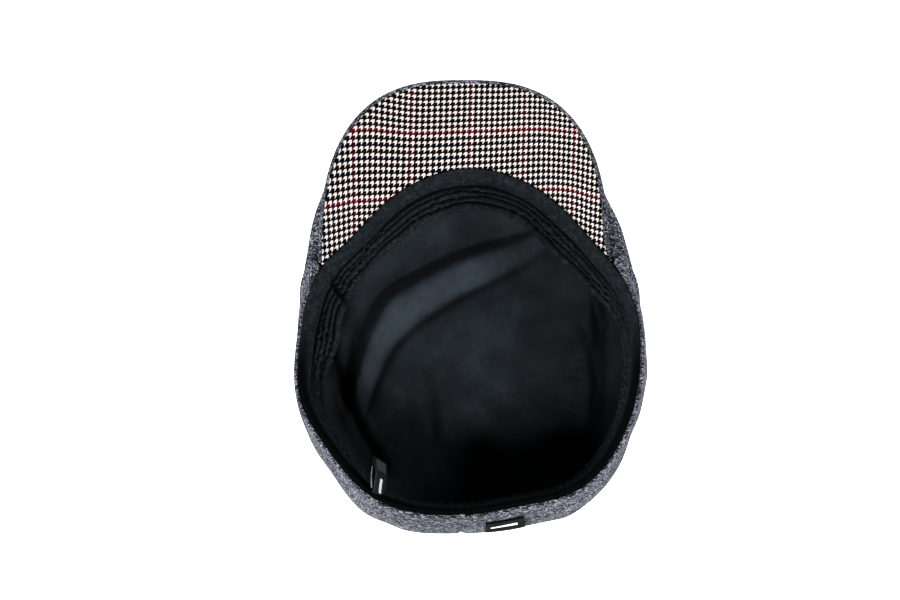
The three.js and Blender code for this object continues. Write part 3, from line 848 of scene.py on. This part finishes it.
def stitch_maker(material):
    """A node tree that lays stitches of a length, a gap and a width along every path of a mesh."""
    tree = bpy.data.node_groups.new("stitches", "GeometryNodeTree")
    tree.interface.new_socket("Path", in_out="INPUT", socket_type="NodeSocketGeometry")
    for name in ("Length", "Gap", "Width"):
        tree.interface.new_socket(name, in_out="INPUT", socket_type="NodeSocketFloat")
    tree.interface.new_socket("Stitches", in_out="OUTPUT", socket_type="NodeSocketGeometry")

    def add(kind, settings=None, links=None):
        made = tree.nodes.new(kind)
        for name, value in (settings or {}).items():
            setattr(made, name, value)
        for name, value in (links or {}).items():
            if isinstance(value, bpy.types.NodeSocket):
                tree.links.new(value, made.inputs[name])
            else:
                made.inputs[name].default_value = value
        return made

    given = add("NodeGroupInput").outputs
    step = add("ShaderNodeMath", links={0: given["Length"], 1: given["Gap"]}).outputs[0]
    curve = add("GeometryNodeMeshToCurve", links={"Mesh": given["Path"]}).outputs["Curve"]
    points = add("GeometryNodeCurveToPoints", {"mode": "LENGTH"}, {"Curve": curve, "Length": step}).outputs
    ball = add("GeometryNodeMeshUVSphere", links={"Segments": 6, "Rings": 5, "Radius": 0.5}).outputs["Mesh"]
    width, length = given["Width"], given["Length"]
    size = add("ShaderNodeCombineXYZ", links={0: width, 1: width, 2: length}).outputs[0]
    stitch = add("GeometryNodeTransform", links={"Geometry": ball, "Scale": size}).outputs["Geometry"]
    laid = add("GeometryNodeInstanceOnPoints", links={
        "Points": points["Points"], "Instance": stitch, "Rotation": points["Rotation"],
    }).outputs["Instances"]
    real = add("GeometryNodeRealizeInstances", links={"Geometry": laid}).outputs["Geometry"]
    done = add("GeometryNodeSetMaterial", links={"Geometry": real, "Material": material})
    add("NodeGroupOutput", links={"Stitches": done.outputs["Geometry"]})
    return tree


def sewn(name, paths, tree, sizes):
    """A piece of stitches along closed paths, each a row of points in millimetres."""
    points = np.concatenate(paths) * MM
    edges = []
    start = 0
    for path in paths:
        edges += [(start + k, start + (k + 1) % len(path)) for k in range(len(path))]
        start += len(path)
    mesh = bpy.data.meshes.new(name)
    mesh.from_pydata(points.tolist(), edges, [])
    piece = bpy.data.objects.new(name, mesh)
    scene.collection.objects.link(piece)
    modifier = piece.modifiers.new("stitches", "NODES")
    modifier.node_group = tree
    for socket in tree.interface.items_tree:
        if socket.in_out == "INPUT" and socket.name in sizes:
            modifier[socket.identifier] = sizes[socket.name] * MM
    done = piece.evaluated_get(bpy.context.evaluated_depsgraph_get())
    made = bpy.data.meshes.new_from_object(done)
    piece.modifiers.clear()
    piece.data = made
    made.shade_smooth()
    return piece


twill = black_cloth("black_twill", BAND_FINISH, BAND_TONES)
band_turns = (np.arange(BAND_COLUMNS) * 360 / BAND_COLUMNS)[:, None]
band_across = np.linspace(0, BAND_WIDTH, BAND_ROWS)[None, :]
band_deep = band_depth(band_turns, band_across)
band_face = band_point(band_turns, band_reach(band_turns, band_across), band_deep)
band_back_across = np.linspace(0, BAND_WIDTH, BAND_BACK_ROWS)[None, :]
band_back = band_point(band_turns, band_reach(band_turns, band_back_across), 0)
# The thread's third value is painted shade and highlight: darker in the stitched grooves, the pinch and the
# upper edge toward the back, paler on the ridges between rows.
from_row = to_stitches(band_turns, band_across)
between_rows = 1 - bell(from_row, BAND_RIB["width"])
band_painted_highlight = BAND_PAINTED_HIGHLIGHT * comes_in(band_across, "ridges") * between_rows
band_painted_shading = bell(from_row, BAND_GROOVE_WIDTH) - band_painted_highlight
pinch_painted_shade = bell(from_pinch(band_turns, band_across), PINCH["spread"])
band_painted_shading = np.maximum(band_painted_shading, pinch_painted_shade * comes_in(band_across, "pinch"))
behind = rise_between(np.abs(from_tip(band_turns)), BAND_BACK_PAINTED_SHADE["from"], BAND_BACK_PAINTED_SHADE["to"])
band_painted_shading = np.maximum(band_painted_shading, behind * (1 - rise_between(band_across, 0, BAND_BACK_PAINTED_SHADE["depth"])))
band_thread = triples(band_turns, band_across, band_painted_shading)
band = shell("sweatband_cloth", band_face, band_back, twill, closed=True, thread=band_thread)
fit(band, "sweatband")
stitch_turns = band_turns[:, 0]
stitch_rows = []
for row, starts in zip(BAND_STITCHES, wander_starts):
    at = row + waves(stitch_turns, ROW_WANDER, starts)
    depth = band_depth(stitch_turns, at) + STITCH["sunk"]
    stitch_rows.append(band_point(stitch_turns, band_reach(stitch_turns, at), depth))
stitch_tones = [(at, STITCH_BLACK) for at, code in BAND_TONES]
stitch_cloth = black_cloth("stitch_thread", BAND_FINISH, stitch_tones)
stitch_sizes = {"Length": STITCH["length"], "Gap": STITCH["gap"], "Width": STITCH["width"]}
band_stitches = sewn("sweatband_stitches", stitch_rows, stitch_maker(stitch_cloth), stitch_sizes)
fit(band_stitches, "sweatband")


# Lining: soft black cloth, one long top panel and two sides, sewn to the back of the band.
# It is larger than the hollow, so it lies in diagonal folds, and its seams draw it into small puckers.
LINING = 1.0
LINING_START = 10
LINING_FLOOR = 4.2
LINING_FOOT = {"out": 11, "height": 8}
LINING_FRONT_FOOT = 46
LINING_DISH = 3
LINING_BEND = {"side": (2, 14), "front": (3, 4)}
LINING_SEAM = {"front": 52, "side": 88, "station": 1.2}
FOLD_SPAN = (0.15, 0.5)
MAIN_FOLD = {
    "near": [(-62, -68), (-54, -44), (-40, -18), (-12.5, 3.4), (18.7, 19.4), (46.4, 36.2), (62, 46)],
    "far": [
        (-74, -72), (-68, -36), (-61, -8), (-48, 13.4), (-18.4, 30.2), (7.1, 39.2), (34.5, 46), (58, 54),
    ],
    "rise": 9,
    "profile": [
        (0, 0), (0.08, 0.32), (0.25, 0.65), (0.45, 0.92), (0.58, 1.0), (0.7, 0.93), (0.85, 0.45), (1, 0),
    ],
    "near_side": [(0, -0.8), (3, 0.3), (8, 0.8), (16, 0.9), (34, 0)],
    "far_side": [(0, -0.8), (4, 0.8), (9, 2.0), (16, 2.2), (34, 0)],
    # painted light and shade across the fold and beside its creases: the lit flank paler, the creases
    # darker
    "painted_shading": [
        (0, -1.0), (0.05, 0.0), (0.15, 0.45), (0.35, 0.5), (0.55, 0.35), (0.72, 0.05), (0.88, -0.35),
        (1, -0.55),
    ],
    "near_painted_shading": [(0, -0.9), (2, -0.45), (5, -0.1), (9, 0)],
    "far_painted_shading": [(0, -0.55), (5, -0.35), (11, -0.1), (18, 0)],
    "fade": (0.2, 0.5),
}
LINING_LOWEST = 3.2
# painted shade on the lining floor: darker toward the right, and beyond the fold's far crease
PAINTED_SHADE_RIGHT = {"from": 15, "to": 62, "by": 0.45}
PAINTED_SHADE_BEYOND = {"from": 0, "to": 14, "by": 0.1}
HOLLOW = [(-12, 0), (-5, -0.4), (0, -0.8), (5, -0.4), (12, 0)]
FOLDS = [
    # a crease's path over the floor, and the cloth's height to either side of it, right to left; how it
    # fades at its ends; and the depth and width of painted shade along it
    {
        "path": [(-27, -26), (-24, -38), (-21, -62), (-20, -80)],
        "profile": [(-14, 0), (-6, 0.7), (0, -1.0), (5, 0.5), (13, 0)],
        "fade": (0.3, 0.3),
        "painted_shade": (0.35, 5),
    },
    {
        "path": [(63, -4), (66.4, -15), (69, -31), (69, -42)],
        "profile": [(-9, 0), (-4, 0.5), (0, -0.8), (4, 0.6), (10, 0)],
        "fade": (0.3, 0.3),
        "painted_shade": (0.3, 3),
    },
    {
        "path": [(70, 14), (72.5, 0), (73, -25), (72, -50), (66, -74)],
        "profile": [(-10, 0), (-5, 0.9), (0, -1.2), (5, 0.9), (11, 0)],
        "fade": (0.2, 0.25),
        "painted_shade": (1.2, 4),
    },
    {
        "path": [(-74, 6), (-80, -20), (-66, -62), (-57, -79), (-44, -94)],
        "profile": [(-10, 0), (-4, 0.6), (0, -1.2), (5, 0.6), (12, 0)],
        "fade": (0.25, 0.25),
        "painted_shade": (1.1, 5),
    },
    {
        "path": [(-78, -45), (-66, -66), (-54, -84), (-40, -97)],
        "profile": HOLLOW,
        "fade": (0.2, 0.2),
        "painted_shade": (0.9, 11),
    },
    {
        "path": [(8.8, -62), (7, -80), (3, -102)],
        "profile": HOLLOW,
        "fade": (0.4, 0.1),
        "painted_shade": (0.9, 9),
    },
    {
        "path": [(55, -62), (53, -78), (48, -94)],
        "profile": HOLLOW,
        "fade": (0.3, 0.1),
        "painted_shade": (0.9, 13),
    },
]
RIPPLES = [(0.11, 20, 0.35), (0.15, 75, 0.3), (0.21, 130, 0.2), (0.27, 50, 0.15), (0.36, 100, 0.1)]
LINING_PUCKERS = [(61, 0.07), (79, 0.06), (103, 0.05)]
LINING_PUCKER_REACH = 4
LINING_SINK = 0.2
LINING_SEED = 11
LINING_COLUMNS = 200
LINING_TOP_ROWS = 130
# the thread share sets how strongly the lining's painted light and shade show
LINING_FINISH = {
    "roughness": 0.7, "sheen": 0.02, "specular": 0.12, "grain": 2400, "blotch": 60, "blotches": 0.5,
    "thread": 0.35, "bump": (0.25, 0.15),
}
# the darkest tone is painted shade in creases and shadowed parts, the palest a painted highlight on lit
# flanks
LINING_TONES = [(0.1, "080b0e"), (0.45, "23292e"), (0.9, "444d55")]

lining_draw = np.random.default_rng(LINING_SEED)
ripple_starts = lining_draw.uniform(0, 2 * math.pi, len(RIPPLES))
lining_starts = lining_draw.uniform(0, 360, len(LINING_PUCKERS))


def beside(x, y, path, steps=60):
    """Share of the way along a path, and distance to its left, of points over the floor."""
    at = np.linspace(0, 1, len(path))
    share = np.linspace(0, 1, steps + 1)
    line = np.stack([curve_through([(a, p[k]) for a, p in zip(at, path)])(share) for k in (0, 1)], -1)
    ways = np.diff(line, axis=0)
    points = np.stack([x.ravel(), y.ravel()], -1)
    nearest = np.full(len(points), np.inf)
    along = np.zeros(len(points))
    left = np.zeros(len(points))
    for k, (start, way) in enumerate(zip(line[:-1], ways)):
        off = points - start
        t = np.clip(off @ way / (way @ way), 0, 1)
        distance = np.linalg.norm(off - t[:, None] * way, axis=1)
        closer = distance < nearest
        nearest = np.where(closer, distance, nearest)
        along = np.where(closer, (k + t) / steps, along)
        left = np.where(closer, np.sign(way[0] * off[:, 1] - way[1] * off[:, 0]) * distance, left)
    return along.reshape(x.shape), left.reshape(x.shape)


def fading(along, fade):
    return rise_between(along, 0, fade[0]) * (1 - rise_between(along, 1 - fade[1], 1))


def main_fold(x, y):
    """Height of the long fold that lies between two creases, and its painted light and shade: the lit flank
    paler, the creases darker.
    """
    along, near = beside(x, y, MAIN_FOLD["near"])
    far = beside(x, y, MAIN_FOLD["far"])[1]
    share = np.clip(near / np.maximum(near - far, 1), 0, 1)

    def curve(name, spot):
        return curve_through(MAIN_FOLD[name])(spot)

    sides = np.where(near < 0, curve("near_side", -near), curve("far_side", far))
    height = MAIN_FOLD["rise"] * curve("profile", share) + sides
    outside = np.where(near < 0, curve("near_painted_shading", -near), curve("far_painted_shading", far))
    painted_shading = np.where((near > 0) & (far < 0), curve("painted_shading", share), outside)
    fade = fading(along, MAIN_FOLD["fade"])
    painted_shade = PAINTED_SHADE_RIGHT["by"] * rise_between(x, PAINTED_SHADE_RIGHT["from"], PAINTED_SHADE_RIGHT["to"])
    painted_shade = painted_shade + PAINTED_SHADE_BEYOND["by"] * rise_between(far, PAINTED_SHADE_BEYOND["from"], PAINTED_SHADE_BEYOND["to"])
    return height * fade, painted_shading * fade - painted_shade


def fold_height(x, y):
    """Height of the loose cloth's folds and ripples over the lining's plain form."""
    total = main_fold(x, y)[0]
    for fold in FOLDS:
        along, left = beside(x, y, fold["path"])
        total = total + fading(along, fold["fade"]) * curve_through(fold["profile"])(left)
    for (pace, turn, deep), start in zip(RIPPLES, ripple_starts):
        way = math.radians(turn)
        total = total + deep * np.sin(pace * (x * math.cos(way) + y * math.sin(way)) + start)
    return total


def lining_point(bearing, station):
    """Points on the lining's inner face. Stations: 0 behind the band, 1 foot of the wall, 2 middle."""
    front = frontness(bearing)
    start_radius, start_height = band_section(bearing, LINING_START, -SEAM_GAP)
    foot_radius = mix(rest(bearing) + LINING_FOOT["out"], LINING_FRONT_FOOT, front)
    foot_height = mix(LINING_FOOT["height"], LINING_FLOOR, front)
    bend_radius = opening(bearing) - mix(LINING_BEND["side"][0], LINING_BEND["front"][0], front)
    bend_height = mix(LINING_BEND["side"][1], LINING_BEND["front"][1], front)
    down = np.clip(station, 0, 1)
    shares = [(1 - down) ** 2, 2 * down * (1 - down), down ** 2]
    wall_radius = sum(s * r for s, r in zip(shares, (start_radius, bend_radius, foot_radius)))
    wall_height = sum(s * h for s, h in zip(shares, (start_height, bend_height, foot_height)))
    outward = np.clip(2 - station, 0, 1)
    radius = np.where(station < 1, wall_radius, foot_radius * outward)
    height = np.where(station < 1, wall_height, mix(LINING_FLOOR, foot_height, outward ** LINING_DISH))
    point = place(bearing, radius, height)
    point[..., 2] += fold_height(point[..., 0], point[..., 1]) * rise_between(station, *FOLD_SPAN)
    point[..., 2] = np.maximum(point[..., 2], LINING_LOWEST)
    return point


def lining_seam(bearing, distance):
    """Depth of a seam and of the puckers it draws, at a distance from it."""
    drawn = waves(bearing, LINING_PUCKERS, lining_starts) * bell(distance, LINING_PUCKER_REACH)
    return LINING_SINK * bell(distance, SEAM_ROUND) + drawn


def lining_thread(grid):
    """The cloth's place over the floor and its painted light and shade, for the thread attribute."""
    x, y = grid[..., 0], grid[..., 1]
    painted_shading = main_fold(x, y)[1]
    for fold in FOLDS:
        # each fold's painted shade darkens a strip along its path
        along, left = beside(x, y, fold["path"])
        deep, width = fold["painted_shade"]
        painted_shading = painted_shading - deep * fading(along, fold["fade"]) * bell(left, width)
    return np.stack([x, y, painted_shading], -1)


lining_cloth = black_cloth("black_lining", LINING_FINISH, LINING_TONES)
for side in ("left", "right"):
    turns, station, face, normal, run = side_grid(lining_point, LINING_SEAM, side, LINING_COLUMNS)
    face = face + normal * lining_seam(turns, run[:, -1:] - run)[..., None]
    back = fewer(face + normal * LINING, SIDE_ROWS // 2)
    panel = shell(f"{side}_lining", face, back, lining_cloth, thread=lining_thread(face))
    fit(panel, f"lining_side_{side}")

lining_turns = np.arange(0, 360, TOP_STEP)[:, None]
lining_station = mix(seam_station(LINING_SEAM, lining_turns), 2, np.linspace(0, 1, LINING_TOP_ROWS))
lining_face = lining_point(lining_turns, lining_station)
lining_normal = normals_of(lining_face, closed=True)
lining_normal[:, -1] = (0, 0, -1)
sewn_part = 1 - frontness(lining_turns)
lining_sink = lining_seam(lining_turns, run_down(lining_face)) * sewn_part
lining_face = lining_face + lining_normal * lining_sink[..., None]
lining_back = fewer(lining_face + lining_normal * LINING, LINING_TOP_ROWS // 2)
lining_top = shell(
    "top_lining", lining_face, lining_back, lining_cloth,
    closed=True, pole=True, thread=lining_thread(lining_face),
)
fit(lining_top, "lining_top")


# Size label: a loop of black satin tape, sewn into the band's upper edge at the right back.
# One plain pale bar is woven into the side that faces up, and a grey painted highlight lies on its fold.
SIZE_LABEL = {
    "bearing": 210.8, "below": 0.9, "depth": 1.8, "width": 10, "length": 19, "roll": 48, "sway": 2,
}
SIZE_LABEL_LOOP = {"apart": 1.2, "belly": 1.6, "thick": 0.4}
SIZE_LABEL_BAR_AND_HIGHLIGHT = [
    # from and to along the tape, half width, colour: a woven bar, then a painted highlight on the fold
    (1.2, 9, 1.1, "bcbec0"), (13, 20, 4, "3f4246"),
]
LABEL_DROOP = 4
LABEL_ROWS = 7
PLY_STEPS = 16
TURN_STEPS = 9
SMALL_TURN = 0.01
SATIN_GRAIN = 900
SATIN_TONES = [(0.3, "0d0e11"), (0.8, "202226")]


def ribbon(name, label, loop, material):
    """A strip sewn down at both ends, which runs out to a fold and back.

    The thread attribute holds millimetres along and aside."""
    bearing = label["bearing"]
    base = band_point(bearing, label["below"], label["depth"])
    roll, sway = math.radians(label["roll"]), math.radians(label["sway"])
    round_way = unit(place(bearing + SMALL_TURN, 1, 0) - place(bearing, 1, 0))
    across = round_way * math.cos(roll) + np.array([0, 0, math.sin(roll)])
    inward = np.array([math.sin(sway), math.cos(sway), 0])
    up = unit(np.cross(across, inward))
    up = up * np.sign(up[2])
    half = loop["apart"] / 2
    share = np.linspace(0, 1, PLY_STEPS)
    reach = label["length"] - half
    bulge = half + loop["belly"] * np.sin(share * math.pi) ** 2 * share
    turn = np.linspace(math.pi / 2, -math.pi / 2, TURN_STEPS + 2)[1:-1]
    out = np.concatenate([share * reach, reach + half * np.cos(turn), share[::-1] * reach])
    lift = np.concatenate([bulge, half * np.sin(turn), -bulge[::-1]])
    aside = np.linspace(-0.5, 0.5, LABEL_ROWS)[None, :] * label["width"]
    grid = base + out[:, None, None] * inward + lift[:, None, None] * up + aside[..., None] * across
    grid[..., 2] -= LABEL_DROOP * (out[:, None] / label["length"]) ** 2
    steps = np.linalg.norm(np.diff(grid[:, 0], axis=0), axis=1)
    along = np.concatenate([[0], np.cumsum(steps)])[:, None]
    back = grid - normals_of(grid) * loop["thick"]
    return shell(name, grid, back, material, thread=triples(along, aside, 0))


def woven_tape(name, grain, tones, bars, roughness, specular):
    """Woven tape with plain bars, each between two places along it; a bar may also be a painted highlight.
    """
    material, shade = cloth(name, roughness, 0.0, specular)
    length, width = shade.thread().part("X"), shade.thread().part("Y")
    colour = shade.spot().noise(grain).ramp(tones)
    for start, end, aside, code in bars:
        from_middle = shade.math("ABSOLUTE", length - (start + end) / 2)
        inside = (from_middle < (end - start) / 2) * (shade.math("ABSOLUTE", width) < aside)
        colour = inside.mixed(colour, paint(code))
    shade.dress(colour)
    return material


satin = woven_tape("black_satin", SATIN_GRAIN, SATIN_TONES, SIZE_LABEL_BAR_AND_HIGHLIGHT, roughness=0.45, specular=0.3)
size_ribbon = ribbon("size_ribbon", SIZE_LABEL, SIZE_LABEL_LOOP, satin)
fit(size_ribbon, "size_label")


# Care label: a thin pale tape folded in two, caught in the same seam beside the size label.
# It stands on its edge, so that its two plies show as pale lines.
CARE_LABEL = {
    "bearing": 213.5, "below": 5, "depth": 3.3, "width": 12, "length": 11.5, "roll": 82, "sway": 2,
}
CARE_LABEL_LOOP = {"apart": 1.6, "belly": 0.5, "thick": 0.35}
CARE_GRAIN = 700
CARE_TONES = [(0.3, "8f9190"), (0.7, "c9cac8")]

pale = woven_tape("pale_tape", CARE_GRAIN, CARE_TONES, [], roughness=0.7, specular=0.25)
care_ribbon = ribbon("care_ribbon", CARE_LABEL, CARE_LABEL_LOOP, pale)
fit(care_ribbon, "care_label")


# Back patch: a small black woven patch, sewn flat on the wool beside the back seam.
# One plain pale bar is woven into it.
PATCH = {"bearing": 169.4, "span": 12.2, "from": 0.25, "to": 0.75, "thick": 1.0, "standoff": 0.3}
PATCH_BARS = [(3.5, 17, 2.2, "e4e5e6")]
PATCH_COLUMNS = 40
PATCH_GRID_ROWS = 12
PATCH_GRAIN = 900
PATCH_TONES = [(0.3, "030304"), (0.8, "0c0d0f")]

patch_turns = PATCH["bearing"] + PATCH["span"] * np.linspace(-0.5, 0.5, PATCH_COLUMNS)[:, None]
patch_station = np.linspace(PATCH["from"], PATCH["to"], PATCH_GRID_ROWS)[None, :]
patch_base = crown_point(patch_turns, patch_station)
patch_normal = normals_of(patch_base)
patch_out = crown_pull(patch_turns, patch_station) + PATCH["standoff"]
patch_back = patch_base + patch_normal * patch_out[..., None]
patch_along = np.radians(patch_turns - patch_turns[0]) * opening(PATCH["bearing"])
patch_aside = run_down(patch_base) - run_down(patch_base)[:, -1:] / 2
patch_thread = triples(patch_along, patch_aside, 0)
patch_cloth = woven_tape("black_patch", PATCH_GRAIN, PATCH_TONES, PATCH_BARS, roughness=0.9, specular=0.1)
patch_face = patch_back + patch_normal * PATCH["thick"]
patch = shell("patch_cloth", patch_face, patch_back, patch_cloth, thread=patch_thread)
fit(patch, "back_patch")
